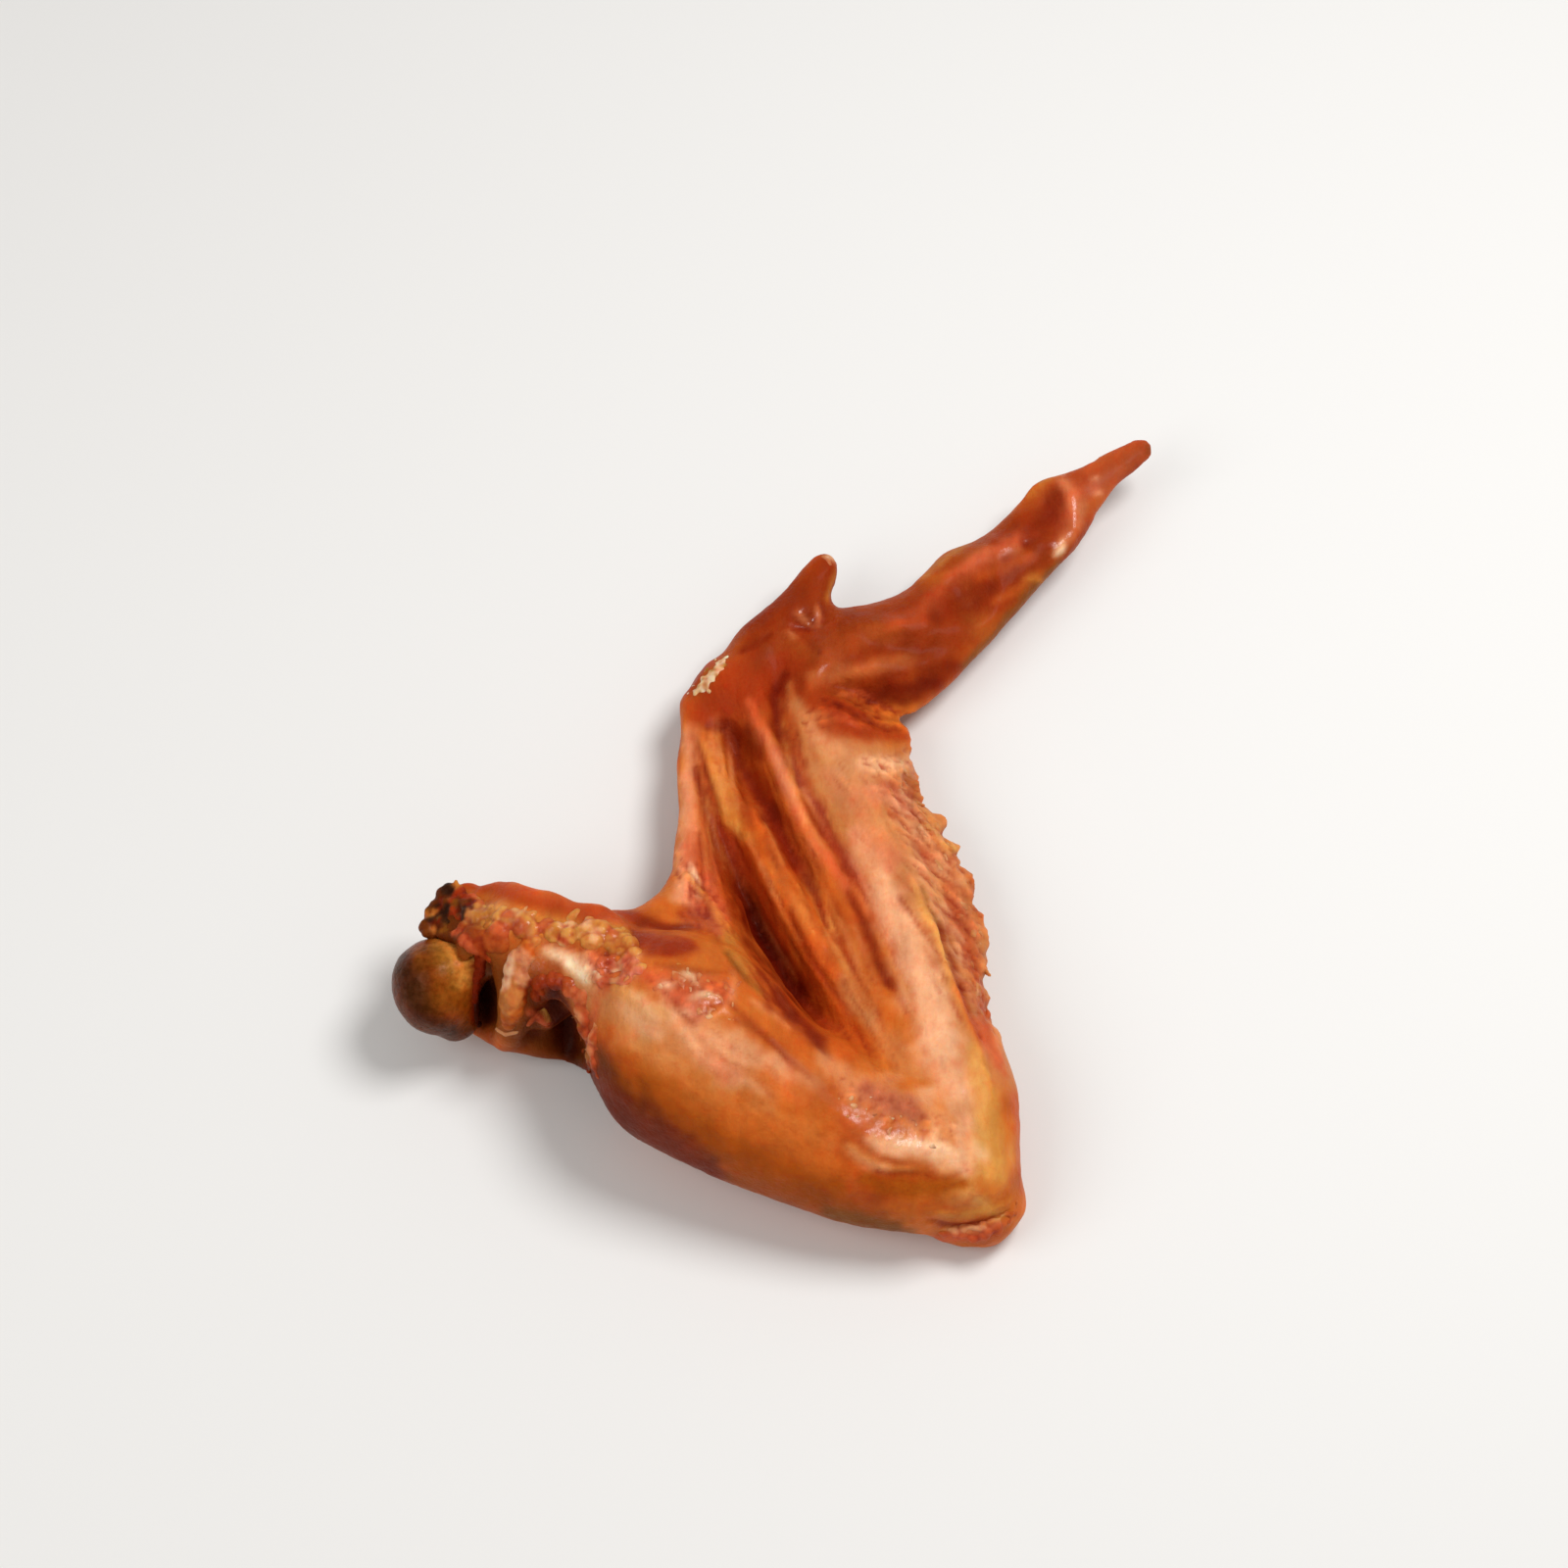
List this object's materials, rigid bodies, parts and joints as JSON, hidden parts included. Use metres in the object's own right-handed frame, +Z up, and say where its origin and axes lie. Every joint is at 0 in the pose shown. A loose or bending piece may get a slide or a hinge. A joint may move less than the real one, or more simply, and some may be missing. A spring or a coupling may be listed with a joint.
{
  "type": "smoked turkey wing",
  "caption": "Whole smoked turkey wing lying flat: thick upper arm with the bone's head at the cut shoulder, bent elbow, folded skin web, forearm and pointed wing tip with thumb.",
  "frame": {"origin": "centre of the footprint's bounding box, on the surface that the wing lies on", "axes": "+Z up from the surface through the flat wing, +Y from the elbow towards the wrist and wing tip, +X from the shoulder towards the forearm"},
  "size_m": [0.18, 0.2106, 0.0471],
  "materials": {
    "smoked_skin": "smoked, browned skin with a moderate gloss",
    "bone": "smooth glossy cartilage over bone"
  },
  "bodies": {
    "root": {"wing": "smoked_skin", "arm_bone": "bone"}
  },
  "joints": []
}
